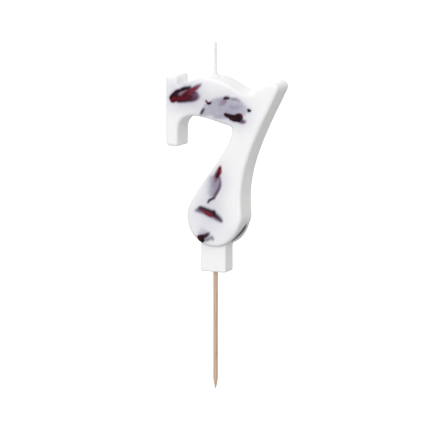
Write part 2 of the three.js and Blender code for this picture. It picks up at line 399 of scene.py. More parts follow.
@dataclass(frozen=True)
class PrimedCotton:
    """Twisted cotton dipped in wax: off-white, with the strands softened by a thin waxy skin."""

    thread: str = "#d8d7d7"
    skin: str = "#e8e8ea"
    roughness: float = 0.5
    fibre_size: float = 0.12
    fibre_draw: float = 0.22  # how much the fibres' pattern is drawn out along the wick
    patch_size: float = 1.8

    def make(self) -> bpy.types.Material:
        """Build the wick's material.

        Returns:
            The material.
        """
        cotton = new_material("primed_cotton")
        add = partial(add_node, cotton)
        place = add("ShaderNodeTexCoord").outputs["Object"]
        drawn = add("ShaderNodeMapping", {"Vector": place, "Scale": (1.0, 1.0, self.fibre_draw)})
        inputs = {"Vector": drawn.outputs["Vector"], "Scale": scale_of(self.fibre_size), "Detail": 3.0}
        fibres = add("ShaderNodeTexNoise", inputs)
        inputs = {"Vector": place, "Scale": scale_of(self.patch_size), "Detail": 2.0}
        patches = add("ShaderNodeTexNoise", inputs)
        inputs = {"From Min": 0.35, "From Max": 0.65, "To Min": 0.35, "To Max": 1.0}
        cover = add("ShaderNodeMapRange", inputs | {"Value": patches.outputs["Fac"]})
        inputs = {"Factor": cover.outputs["Result"], "A": linear(self.thread), "B": linear(self.skin)}
        colour = add("ShaderNodeMix", inputs, data_type="RGBA")
        inputs = {"Strength": 0.45, "Distance": 0.05 * MM, "Height": fibres.outputs["Fac"]}
        bump = add("ShaderNodeBump", inputs)
        inputs = {
            "Base Color": colour.outputs["Result"],
            "Roughness": self.roughness,
            "Sheen Weight": 0.15,
            "Sheen Roughness": 0.5,
            "Normal": bump.outputs["Normal"],
        }
        shader = add("ShaderNodeBsdfPrincipled", inputs)
        add("ShaderNodeOutputMaterial", {"Surface": shader.outputs["BSDF"]})
        return cotton


@dataclass(frozen=True)
class BareBirch:
    """A turned birch pick, unsealed: pinkish tan, with long pale and brown fibres."""

    pale: str = "#dcc6b6"
    tan: str = "#c9ac99"
    brown: str = "#a88874"
    roughness: float = 0.78
    fibre_width: float = 0.3
    fibre_length: float = 14.0

    def make(self) -> bpy.types.Material:
        """Build the pick's material, with its grain along Z.

        Returns:
            The material.
        """
        birch = new_material("bare_birch")
        add = partial(add_node, birch)
        place = add("ShaderNodeTexCoord").outputs["Object"]
        across = self.fibre_width / self.fibre_length
        drawn = add("ShaderNodeMapping", {"Vector": place, "Scale": (1.0, 1.0, across)})
        inputs = {"Vector": drawn.outputs["Vector"], "Detail": 4.0, "Roughness": 0.6}
        fibres = add("ShaderNodeTexNoise", inputs | {"Scale": scale_of(self.fibre_width)}).outputs["Fac"]
        ramp = add("ShaderNodeValToRGB", {"Fac": fibres})
        set_ramp(ramp, [(0.3, self.brown), (0.5, self.tan), (0.7, self.pale)])
        bump = add("ShaderNodeBump", {"Strength": 0.5, "Distance": 0.05 * MM, "Height": fibres})
        inputs = {"Base Color": ramp.outputs["Color"], "Normal": bump.outputs["Normal"]}
        shader = add("ShaderNodeBsdfPrincipled", inputs | {"Roughness": self.roughness})
        add("ShaderNodeOutputMaterial", {"Surface": shader.outputs["BSDF"]})
        return birch


# ---------------------------------------------------------------- petals


class Face(Enum):
    """The side of the wax that a petal lies in, and what its two coordinates mean."""

    FRONT = "x and z, looked at along +Y"
    BACK = "x and z, looked at along -Y"
    BOWL_WALL = "angle round the bowl in degrees, and y"


@dataclass(frozen=True)
class Bowl:
    """The numeral's round foot, as the CAD draws it."""

    x: float = 1.1
    z: float = 25.0
    radius: float = 13.4


@dataclass(frozen=True)
class Fold:
    """One strip of a creased petal.

    Attributes:
        spine: Points along its middle, in its face's coordinates.
        widths: Its width at even steps along the spine.
        under: Its depth in the wax at its start and its end. Below 0 it stands proud.
        tone: From 0, crimson, to 1, near black, at its start and its end.
        blush: What the wax over it looks like, from -1, ash grey, past 0, plum, to 1, rose.
        dive: How far beyond its width it goes on sinking, on its left, on its right and at its two ends.
    """

    spine: tuple[Point, ...]
    widths: tuple[float, ...]
    under: Pair = (-0.04, -0.04)
    tone: Pair = (0.4, 0.4)
    blush: float = 0.1
    dive: tuple[float, float, float] = (1.2, 1.2, 1.1)


def along_curve(points: Sequence[Point], share: float) -> Vector:
    """Find a point on the smooth curve through a few points.

    Args:
        points: The points that the curve passes through.
        share: Where on the curve, from 0 to 1.

    Returns:
        The point, by Catmull-Rom interpolation.
    """
    last = len(points) - 1
    place = min(max(share, 0.0), 1.0) * last
    start = min(int(place), last - 1)
    t = place - start
    p0, p1, p2, p3 = (Vector(points[min(max(start + step, 0), last)]) for step in (-1, 0, 1, 2))
    square = 2 * p0 - 5 * p1 + 4 * p2 - p3
    cube = 3 * p1 - p0 - 3 * p2 + p3
    return 0.5 * (2 * p1 + (p2 - p0) * t + square * t**2 + cube * t**3)


@dataclass
class WaxSkin:
    """Finds the wax surface under a point of a face."""

    tree: BVHTree
    bowl: Bowl
    front: float
    back: float
    far: float = 40.0  # how far outside the wax the search starts
    edge: float = 1.3  # a petal of the front or the back lies no further behind that face than this
    overhang: float = 0.3  # a petal is trimmed where it would reach this far past the wax

    def settle(self, face: Face, place: Vector, under: float) -> Vector | None:
        """Put a point of a petal at its depth in the wax.

        Args:
            face: The side of the wax that the petal lies in.
            place: The point's two coordinates on that side.
            under: Its depth in the wax.

        Returns:
            The point in metres, or None where there is no wax.
        """
        if face is Face.BOWL_WALL:
            angle = math.radians(place.x)
            out = Vector((math.cos(angle), 0, math.sin(angle)))
            surface = Vector((self.bowl.x, place.y, self.bowl.z)) + out * self.bowl.radius
        else:
            out = Vector((0, -1 if face is Face.FRONT else 1, 0))
            surface = Vector((place.x, self.front if face is Face.FRONT else self.back, place.y))
        start = surface + out * self.far
        spot, normal, _, _ = self.tree.ray_cast(start * MM, -out, (self.far + self.edge) * MM)
        if spot is None:
            aim = (surface - out * self.edge / 2) * MM
            spot, normal, _, gap = self.tree.find_nearest(aim)
            if gap > (self.overhang + self.edge / 2) * MM:
                return None
        return spot - normal * under * MM

    def normal_near(self, spot: Vector) -> Vector:
        """Return the normal of the wax where it is nearest to a spot."""
        return self.tree.find_nearest(spot)[1]


@dataclass
class Sheets:
    """Every fold's bare sheet, gathered to find what lies under a point of the wax."""

    points: list[Vector] = field(default_factory=list)
    faces: list[tuple[int, ...]] = field(default_factory=list)
    tones: list[float] = field(default_factory=list)
    blushes: list[float] = field(default_factory=list)

    def add(self, bm: bmesh.types.BMesh) -> None:
        """Copy a petal's bare sheets.

        Args:
            bm: The petal's mesh, before it gets its thickness.
        """
        offset = len(self.points)
        tone_layer, blush_layer = (bm.verts.layers.float[name] for name in (TONE, BLUSH))
        bm.verts.index_update()
        self.points.extend(vertex.co.copy() for vertex in bm.verts)
        for face in bm.faces:
            corners = face.verts
            self.faces.append(tuple(offset + vertex.index for vertex in corners))
            self.tones.append(sum(vertex[tone_layer] for vertex in corners) / len(corners))
            self.blushes.append(sum(vertex[blush_layer] for vertex in corners) / len(corners))


@dataclass
class Petal:
    """A dried petal, as the strips that its creases leave."""

    node: str
    face: Face
    folds: tuple[Fold, ...]
    thickness: float = 0.08
    cell: float = 0.28
    least_cells: tuple[int, int] = (10, 6)  # along a fold and across it
    ragged: float = 0.4  # how far its torn edge strays
    tears: Pair = (0.9, 2.3)  # the long ones and the short ones to the millimetre
    fine_tears: float = 0.5  # how far the short ones stray, as a share of the long ones
    crumple: float = 0.06  # how deep its dents are
    dents: float = 0.8  # to the millimetre
    edge_burn: float = 0.2  # how much darker its edge is
    mottle: float = 0.35  # how uneven its tone is
    mottles: float = 0.9  # to the millimetre
    dive_depth: float = 2.0
    dive_curve: float = 2.0
    deepest: float = 1.2  # where it stops sinking, as a share of its dive
    least_width: float = 0.1
    blunt: float = 0.05  # how far its ends are from a perfect point

    def build(self, skin: WaxSkin, sheets: Sheets, material: bpy.types.Material) -> bpy.types.Object:
        """Make the petal's mesh.

        Args:
            skin: The wax that it lies in.
            sheets: Takes a copy of each fold's bare sheet.
            material: The petal finish.

        Returns:
            The petal's object.
        """
        bm = bmesh.new()
        bm.loops.layers.uv.new("along_fold")
        for name in (TONE, BLUSH):
            bm.verts.layers.float.new(name)
        petal_seed, fold_seed = 7.3, 3.1
        for number, fold in enumerate(self.folds):
            self._lay(bm, skin, fold, len(self.node) * petal_seed + number * fold_seed)
        sheets.add(bm)
        grown = bmesh.ops.extrude_face_region(bm, geom=bm.faces[:], use_keep_orig=True)
        for vertex in new_vertices(grown):
            vertex.co -= skin.normal_near(vertex.co) * self.thickness * MM
        bmesh.ops.recalc_face_normals(bm, faces=bm.faces[:])
        return to_object(f"{self.node}_sheet", bm, material)

    def _lay(self, bm: bmesh.types.BMesh, skin: WaxSkin, fold: Fold, seed: float) -> None:
        """Add one fold as a shaped grid.

        Args:
            bm: The petal's mesh.
            skin: The wax that the fold lies in.
            fold: The fold.
            seed: Makes this fold's noise its own.
        """
        tone_layer, blush_layer = (bm.verts.layers.float[name] for name in (TONE, BLUSH))
        scale = skin.bowl.radius * math.pi / 180 if self.face is Face.BOWL_WALL else 1.0
        spine = tuple((x * scale, y) for x, y in fold.spine)
        reach = sum((Vector(b) - Vector(a)).length for a, b in zip(spine, spine[1:]))
        left_dive, right_dive, end_dive = fold.dive
        patches_apart = 9.0
        rows = max(self.least_cells[0], round((reach + 2 * end_dive) / self.cell))
        columns = max(self.least_cells[1], round((max(fold.widths) + left_dive + right_dive) / self.cell))
        grid = bmesh.ops.create_grid(bm, x_segments=rows, y_segments=columns, size=1, calc_uvs=True)
        trimmed = []
        for vertex in grid["verts"]:
            along = (vertex.co.x + 1) / 2 * (reach + 2 * end_dive) - end_dive
            side = vertex.co.y
            beyond_end = max(-along, along - reach, 0.0)
            share = min(max(along / reach, 0.0), 1.0)
            heading = self._heading(spine, share)
            centre = along_curve(spine, share) + heading * math.copysign(beyond_end, along)
            half = self._half_width(fold, share, reach)
            half += self._tear(along, side, seed) * min(half, 1.0)
            side_dive = left_dive if side > 0 else right_dive
            offset = side * (half + side_dive)
            beyond_side = max(abs(offset) - half, 0.0)
            spot = centre + Vector((-heading.y, heading.x)) * offset
            sink = math.hypot(beyond_end / end_dive, beyond_side / side_dive)
            depth = between(fold.under, share)
            depth += self.dive_depth * min(sink, self.deepest) ** self.dive_curve
            depth += self.crumple * noise.noise(Vector((spot.x * self.dents, spot.y * self.dents, seed)))
            spot.x /= scale
            settled = skin.settle(self.face, spot, depth)
            if settled is None:
                trimmed.append(vertex)
                continue
            vertex.co = settled
            tone = between(fold.tone, share)
            tone += self.edge_burn * (offset / (half + self.least_width)) ** 2
            patch = Vector((spot.x * self.mottles, spot.y * self.mottles, seed + patches_apart))
            tone += self.mottle * noise.noise(patch)
            vertex[tone_layer] = min(max(tone, 0.0), 1.0)
            vertex[blush_layer] = fold.blush
        bmesh.ops.delete(bm, geom=trimmed, context="VERTS")

    def _heading(self, spine: tuple[Point, ...], share: float) -> Vector:
        """Find the way that a fold runs.

        Args:
            spine: Points along its middle.
            share: Where along it, from 0 to 1.

        Returns:
            Its heading there, of length 1.
        """
        step = 0.02
        heading = along_curve(spine, min(share + step, 1.0)) - along_curve(spine, max(share - step, 0.0))
        return heading.normalized()

    def _tear(self, along: float, side: float, seed: float) -> float:
        """Find how far a fold's torn edge strays.

        Args:
            along: Where along the fold.
            side: Above 0 on its left, and below 0 on its right.
            seed: Makes this fold's edge its own.

        Returns:
            The distance outwards.
        """
        sides_apart, tears_apart = 2.0, 5.0
        row = math.copysign(sides_apart, side)
        long_tear, short_tear = self.tears
        torn = noise.noise(Vector((along * long_tear, row, seed)))
        torn += self.fine_tears * noise.noise(Vector((along * short_tear, row, seed + tears_apart)))
        return self.ragged * torn

    def _half_width(self, fold: Fold, share: float, reach: float) -> float:
        """Find half of a fold's width, rounded in at both ends.

        Args:
            fold: The fold.
            share: Where along it, from 0 to 1.
            reach: Its length.

        Returns:
            The half width.
        """
        full = max(along_curve([(width, 0.0) for width in fold.widths], share).x, self.least_width) / 2
        end = min(share, 1 - share) * reach
        return full * math.sqrt(min((end + self.blunt) / (full + self.blunt), 1.0))


def seen_petals() -> list[Petal]:
    """List the petals of the front and of the bowl's right wall, fold by fold.

    Returns:
        The petals.
    """
    crisp, tiny = (0.8, 0.8, 0.7), (0.55, 0.55, 0.5)
    serif = (
        Fold(((-18.6, 79.0), (-15.5, 80.2), (-11.6, 81.0), (-7.6, 81.8)), (2.6, 3.6, 4.6, 3.8),
             (0.22, 0.46), (0.75, 0.7), 0.45, (1.3, 1.6, 1.6)),
        Fold(((-15.9, 80.4), (-17.9, 78.9), (-19.1, 76.8)), (1.6, 3.0, 3.3),
             (0.05, -0.07), (0.6, 0.1), 0.7, (1.0, 1.0, 1.0)),
        Fold(((-14.6, 82.4), (-16.5, 81.4), (-18.2, 79.9), (-19.5, 78.4)), (0.6, 1.1, 1.0, 0.6),
             (-0.03, -0.08), (0.95, 1.0), 0.1, (1.2, 0.9, 0.8)),
        Fold(((-14.4, 82.4), (-12.1, 83.3), (-9.6, 84.1)), (1.1, 1.2, 0.4),
             (-0.04, 0.04), (0.6, 1.0), 0.0, crisp),
        Fold(((-16.4, 78.1), (-13.4, 79.3), (-10.6, 81.6), (-7.4, 83.6), (-5.2, 85.2)),
             (1.5, 1.8, 2.2, 1.5, 0.5), (-0.05, 0.2), (0.25, 0.1), 0.8, (0.9, 1.1, 2.2)),
        Fold(((-13.0, 79.1), (-10.1, 80.4), (-7.6, 80.8), (-6.0, 80.3)), (1.9, 2.9, 2.3, 1.1),
             (-0.05, 0.3), (0.2, 0.75), 0.4, (1.1, 1.4, 2.6)),
        Fold(((-16.6, 77.8), (-12.1, 78.2), (-9.1, 78.8), (-6.5, 79.4)), (1.2, 1.3, 1.6, 0.9),
             (-0.04, 0.2), (0.2, 1.0), 0.4, (1.0, 1.8, 2.4)),
    )
    chip = (
        Fold(((-2.3, 78.4), (-0.9, 76.9)), (0.5, 0.7), (0.0, -0.03), (0.05, 0.7), 0.6, tiny),
        Fold(((-1.0, 76.9), (0.5, 77.8)), (0.9, 0.6), (-0.03, 0.04), (1.0, 0.9), 0.2, tiny),
    )
    veil = (
        Fold(((-4.6, 71.9), (-1.1, 74.4), (3.0, 75.5), (7.8, 76.1), (12.8, 76.0), (18.2, 75.6)),
             (1.6, 4.6, 7.8, 8.8, 8.4, 4.8), (0.62, 0.72), (0.7, 0.7), 0.12, (1.1, 3.0, 4.2)),
        Fold(((-0.6, 76.2), (2.0, 77.9), (5.4, 79.4), (9.0, 80.2), (12.4, 80.1), (14.6, 79.5)),
             (0.3, 0.4, 0.5, 0.5, 0.4, 0.2), (0.62, 0.42), (1.0, 1.0), 0.0, (0.7, 2.2, 1.2)),
        Fold(((6.7, 79.9), (8.0, 80.4), (9.3, 80.3)), (0.5, 0.9, 0.5),
             (0.03, 0.03), (0.95, 1.0), 0.1, (0.8, 1.3, 1.0)),
        Fold(((7.6, 79.2), (6.2, 78.0), (4.5, 76.9)), (1.0, 1.6, 1.0),
             (0.36, 0.46), (0.3, 0.3), 0.8, (2.0, 2.0, 2.0)),
        Fold(((9.6, 76.4), (13.0, 76.3), (16.0, 77.0)), (1.2, 1.6, 0.8),
             (0.55, 0.6), (0.3, 0.3), 0.7, (1.8, 1.8, 1.8)),
        Fold(((2.0, 71.2), (5.2, 71.6), (8.0, 71.4)), (0.9, 1.4, 0.6),
             (0.55, 0.6), (0.3, 0.3), 0.8, (1.5, 1.5, 1.5)),
        Fold(((11.2, 79.8), (13.2, 80.2)), (0.4, 0.4), (0.34, 0.44), (1.0, 1.0), 0.0, (1.0, 1.4, 1.2)),
        Fold(((-3.1, 74.7), (-4.1, 73.1), (-4.8, 71.9)), (0.4, 0.8, 0.5),
             (0.12, 0.16), (1.0, 1.0), -0.4, (1.1, 0.7, 0.8)),
    )
    folded = (
        Fold(((7.0, 72.9), (9.3, 72.1), (12.0, 71.4), (15.1, 71.7)), (0.7, 1.5, 2.7, 3.7),
             (-0.03, -0.06), (0.75, 1.0), 0.3, (0.9, 0.9, 0.8)),
        Fold(((9.6, 71.7), (12.4, 70.5), (14.6, 70.0)), (0.4, 0.7, 0.5),
             (-0.07, -0.03), (0.5, 0.8), 0.2, tiny),
        Fold(((11.4, 72.3), (13.4, 73.1), (15.0, 73.2), (15.7, 72.1), (15.5, 71.0)),
             (0.3, 0.5, 0.6, 0.5, 0.3), (-0.08, -0.1), (0.4, 0.25), 0.5, tiny),
        Fold(((14.0, 70.5), (16.2, 70.2), (17.4, 70.3)), (1.4, 1.3, 0.6),
             (0.1, 0.35), (1.0, 1.0), 0.1, (1.0, 1.3, 1.4)),
    )
    speck = Fold(((18.5, 75.8), (19.9, 75.1)), (1.0, 1.1), (-0.05, -0.03), (0.8, 1.0), 0.1, (0.7, 0.7, 0.7))
    stem = (
        Fold(((5.0, 48.3), (4.4, 46.1), (3.3, 44.1), (2.6, 41.8)), (0.5, 1.6, 1.8, 0.8),
             (-0.06, 0.3), (0.0, 0.3), 1.0, (0.8, 1.6, 1.8)),
        Fold(((4.2, 46.0), (3.3, 43.9)), (0.6, 1.0), (-0.07, -0.04), (0.4, 0.6), 0.6, (0.7, 1.0, 1.2)),
        Fold(((4.6, 44.2), (5.0, 41.2), (4.4, 38.8), (3.1, 36.5), (2.0, 34.3)), (0.6, 0.9, 0.9, 0.8, 0.4),
             (0.34, 0.16), (0.7, 0.9), 0.2, (0.6, 2.0, 0.8)),
        Fold(((3.1, 43.8), (3.2, 40.3), (2.8, 37.2), (1.6, 34.8)), (0.8, 1.7, 1.2, 0.4),
             (0.44, 0.5), (0.8, 0.9), 0.25, (1.4, 7.5, 2.6)),
        Fold(((2.1, 34.3), (0.6, 33.7), (-0.5, 33.0), (-1.2, 31.9)), (0.3, 0.5, 0.6, 0.3),
             (0.04, 0.1), (0.8, 0.9), 0.0, crisp),
    )
    bowl = (
        Fold(((-6.4, 28.3), (-2.6, 28.0), (1.6, 26.6), (5.4, 24.2)), (0.8, 1.6, 2.0, 0.9),
             (0.3, 0.3), (0.9, 0.9), 0.15, (2.0, 2.0, 1.8)),
        Fold(((-4.9, 28.7), (-2.9, 27.9), (-0.2, 26.8), (1.1, 26.0)), (0.7, 1.3, 1.7, 1.2),
             (0.12, 0.05), (0.2, 0.0), 0.8, (1.0, 1.2, 1.0)),
        Fold(((-5.6, 29.1), (-4.3, 29.4), (-0.2, 28.2), (2.4, 27.8)), (0.5, 0.6, 0.7, 0.7),
             (0.12, 0.0), (1.0, 1.0), 0.0, (1.3, 1.1, 1.1)),
        Fold(((0.9, 27.6), (2.5, 26.9)), (1.1, 1.4), (0.02, 0.0), (1.0, 0.95), 0.0, (1.2, 1.2, 1.1)),
        Fold(((1.6, 26.5), (3.9, 25.6), (5.8, 23.9)), (1.5, 1.1, 0.4),
             (0.08, 0.2), (0.9, 0.6), 0.35, (1.0, 1.3, 1.1)),
        Fold(((-7.4, 27.7), (-6.1, 28.4), (-4.6, 29.2)), (0.4, 0.8, 0.7),
             (0.5, 0.1), (1.0, 1.0), 0.0, (1.4, 1.4, 1.3)),
    )
    foot = (
        Fold(((-6.1, 16.3), (-4.8, 15.4), (-3.4, 14.1)), (1.8, 3.6, 2.6),
             (-0.04, -0.05), (0.4, 1.0), 0.3, (1.1, 1.0, 0.9)),
        Fold(((-4.9, 15.4), (-2.6, 16.6), (-0.6, 17.9)), (1.4, 1.1, 0.4),
             (-0.03, 0.14), (0.95, 1.0), 0.1, (1.6, 1.0, 1.3)),
        Fold(((-2.6, 14.6), (-1.1, 15.2), (0.6, 16.3), (1.3, 15.3)), (0.3, 0.5, 0.5, 0.3),
             (0.38, 0.34), (1.0, 1.0), 0.0, (1.4, 1.4, 1.2)),
        Fold(((-3.2, 16.8), (-3.6, 18.4), (-4.0, 20.0)), (3.4, 3.6, 2.6),
             (0.5, 0.95), (0.9, 0.9), 0.05, (2.6, 2.6, 2.6)),
    )
    front = {
        "petal_serif": serif,
        "petal_arm_chip": chip,
        "petal_arm_veil": veil,
        "petal_arm_folded": folded,
        "petal_arm_speck": (speck,),
        "petal_stem": stem,
        "petal_bowl": bowl,
        "petal_foot": foot,
    }
    wall = Fold(((-50.0, -2.0), (-39.0, -1.1), (-28.0, 0.6), (-17.0, 2.3)), (1.1, 1.6, 1.6, 0.9),
                (0.0, 0.14), (1.0, 1.0), -1.0, (1.3, 2.4, 2.2))
    petals = [Petal(node, Face.FRONT, folds) for node, folds in front.items()]
    return [*petals, Petal("petal_wall_right", Face.BOWL_WALL, (wall,))]


@dataclass
class ScatteredPetal:
    """A petal of a hidden side: one broad sunk sheet with a few creases that reach the surface."""

    node: str
    face: Face
    turn: float  # its heading, in degrees
    seed: int
    slenderness: float = 0.34  # its breadth as a share of its length
    node_share: float = 0.97  # how much of its node's length it takes

    def petal(self) -> Petal:
        """Lay its folds over the middle of its CAD node, as long and as wide as that node.

        Returns:
            The petal.
        """
        dice = random.Random(self.seed)
        draw = dice.uniform
        low, high = node_box(self.node)
        middle = (low + high) / 2
        size = high - low
        if self.face is Face.BOWL_WALL:
            bowl = Bowl()
            centre = Vector((math.degrees(math.atan2(middle.z - bowl.z, middle.x - bowl.x)), middle.y))
            stretch = math.degrees(1 / bowl.radius)
            length, breadth = size.z, size.y
        else:
            centre = Vector((middle.x, middle.z))
            stretch = 1.0
            length = math.hypot(size.x, size.z) * self.node_share
            breadth = length * self.slenderness
        heading = Vector((math.cos(math.radians(self.turn)), math.sin(math.radians(self.turn))))
        left = Vector((-heading.y, heading.x))

        def spot(along: float, across: float) -> Point:
            """Return the point at a share of the length and of the breadth from the middle."""
            offset = heading * along * length / 2 + left * across * breadth / 2
            return centre.x + offset.x * stretch, centre.y + offset.y

        def crease(start: float, end: float, across: float, width: float, tone: float) -> Fold:
            """Run a crease along the petal, bowed a little.

            Args:
                start: Where it starts, as a share of the length from the middle.
                end: Where it ends.
                across: How far to the left it lies, as a share of the breadth.
                width: Its width, as a share of the breadth.
                tone: Its tone at its start.

            Returns:
                The crease.
            """
            full = breadth * width
            bow = draw(-0.3, 0.3)
            spine = (spot(start, across), spot((start + end) / 2, across + bow), spot(end, across + bow / 2))
            widths = (full * 0.5, full, full * draw(0.25, 0.7))
            depth = draw(-0.05, 0.02)
            return Fold(spine, widths, (depth, depth + draw(0, 0.16)), (tone, tone + 0.2), 0.4)

        sheet = Fold(
            (spot(-0.96, -0.1), spot(-0.3, 0.2), spot(0.4, 0.1), spot(0.96, -0.1)),
            (breadth * 0.4, breadth * 0.95, breadth * 0.9, breadth * 0.3),
            (draw(0.2, 0.35), draw(0.35, 0.6)),
            (0.6, 0.6),
            0.25,
        )
        edge = dice.choice((-1, 1))
        creases = (
            crease(-0.9, draw(-0.2, 0.7), 0.5 * edge, draw(0.2, 0.45), draw(0, 0.6)),
            crease(draw(-0.6, 0), 0.85, -0.3 * edge, draw(0.16, 0.36), draw(0.1, 0.6)),
            crease(draw(-0.3, 0.3), 0.9, 0.55 * edge, 0.16, draw(0.6, 0.8)),
        )
        return Petal(self.node, self.face, (sheet, *creases))


def hidden_petals() -> list[Petal]:
    """List the petals of the back and of the bowl's left wall.

    Returns:
        The petals.
    """
    scattered = (
        ScatteredPetal("petal_wall_left", Face.BOWL_WALL, 8, 3),
        ScatteredPetal("petal_back_serif", Face.BACK, 84, 5, slenderness=0.2),
        ScatteredPetal("petal_back_arm", Face.BACK, 11, 8),
        ScatteredPetal("petal_back_horn", Face.BACK, 48, 13),
        ScatteredPetal("petal_back_stem", Face.BACK, 62, 21),
        ScatteredPetal("petal_back_bowl", Face.BACK, -38, 34),
        ScatteredPetal("petal_back_foot", Face.BACK, 35, 55),
    )
    return [each.petal() for each in scattered]


# ---------------------------------------------------------------- wax casting


def cut_section(mesh: bpy.types.Mesh, point: Vector, normal: Vector) -> bmesh.types.BMesh:
    """Cut a closed mesh with a plane and keep the largest closed outline as one face.

    Args:
        mesh: The mesh to cut. It isn't changed.
        point: A point of the plane, in metres.
        normal: The plane's normal.

    Returns:
        A mesh that holds that one face.
    """
    same, on_plane, speck = 1e-6, 1e-7, 2e-5  # in metres
    bm = bmesh.new()
    bm.from_mesh(mesh)
    bmesh.ops.remove_doubles(bm, verts=bm.verts[:], dist=same)
    geometry = bm.verts[:] + bm.edges[:] + bm.faces[:]
    cut = bmesh.ops.bisect_plane(bm, geom=geometry, plane_co=point, plane_no=normal, dist=on_plane)
    rim = {item for item in cut["geom_cut"] if isinstance(item, bmesh.types.BMEdge)}
    bmesh.ops.delete(bm, geom=bm.faces[:], context="FACES_ONLY")
    bmesh.ops.delete(bm, geom=[edge for edge in bm.edges if edge not in rim], context="EDGES")
    bmesh.ops.delete(bm, geom=[vertex for vertex in bm.verts if not vertex.link_edges], context="VERTS")
    bmesh.ops.remove_doubles(bm, verts=bm.verts[:], dist=speck)
    bmesh.ops.edgeloop_fill(bm, edges=bm.edges[:])
    kept = set(max(bm.faces, key=lambda face: face.calc_area()).verts)
    bmesh.ops.delete(bm, geom=[vertex for vertex in bm.verts if vertex not in kept], context="VERTS")
    return bm


def extrude_to(bm: bmesh.types.BMesh, axis: int, start: float, end: float) -> list[bmesh.types.BMVert]:
    """Move a mesh's one face to start along an axis, and extrude it to end.

    Args:
        bm: A mesh with one face that lies across the axis.
        axis: 0, 1 or 2 for X, Y or Z.
        start: Where the face goes.
        end: Where the extruded copy goes.

    Returns:
        The vertices at the end.
    """
    for vertex in bm.verts:
        vertex.co[axis] = start * MM
    far = new_vertices(bmesh.ops.extrude_face_region(bm, geom=bm.faces[:]))
    for vertex in far:
        vertex.co[axis] = end * MM
    bmesh.ops.recalc_face_normals(bm, faces=bm.faces[:])
    bm.normal_update()
    return far


@dataclass(frozen=True)
class Stain:
    """What milky wax makes of the petals in it, by how deep they lie."""

    lilac: str = "#5b5e90"
    plum: str = "#482440"
    rose: str = "#7c1238"
    ash: str = "#3c3d3b"
    clear_depth: float = 0.7  # the depth at which a petal shows through at about a third
    true_colour_depth: float = 0.16
    stain_depth: float = 0.6
    fading: float = 1.4  # the power by which colours fade with depth

    def share(self, depth: float) -> float:
        """Return how much of a petal at a depth shows, from 0 to 1."""
        return math.exp(-((depth / self.clear_depth) ** 2))

    def look(self, depth: float, petal: np.ndarray, blush: float) -> np.ndarray:
        """Find the colour that a petal at a depth gives the wax.

        Args:
            depth: How deep it lies.
            petal: Its own colour.
            blush: Its blush.

        Returns:
            The linear red, green and blue.
        """
        warm = rgb(self.rose) if blush > 0 else rgb(self.ash)
        stain = rgb(self.plum) * (1 - abs(blush)) + warm * abs(blush)
        faint = rgb(self.lilac) if blush > -0.5 else rgb(self.ash)
        stained = math.exp(-((depth / self.stain_depth) ** self.fading))
        clear = math.exp(-((depth / self.true_colour_depth) ** self.fading))
        return petal * clear + (stain * stained + faint * (1 - stained)) * (1 - clear)


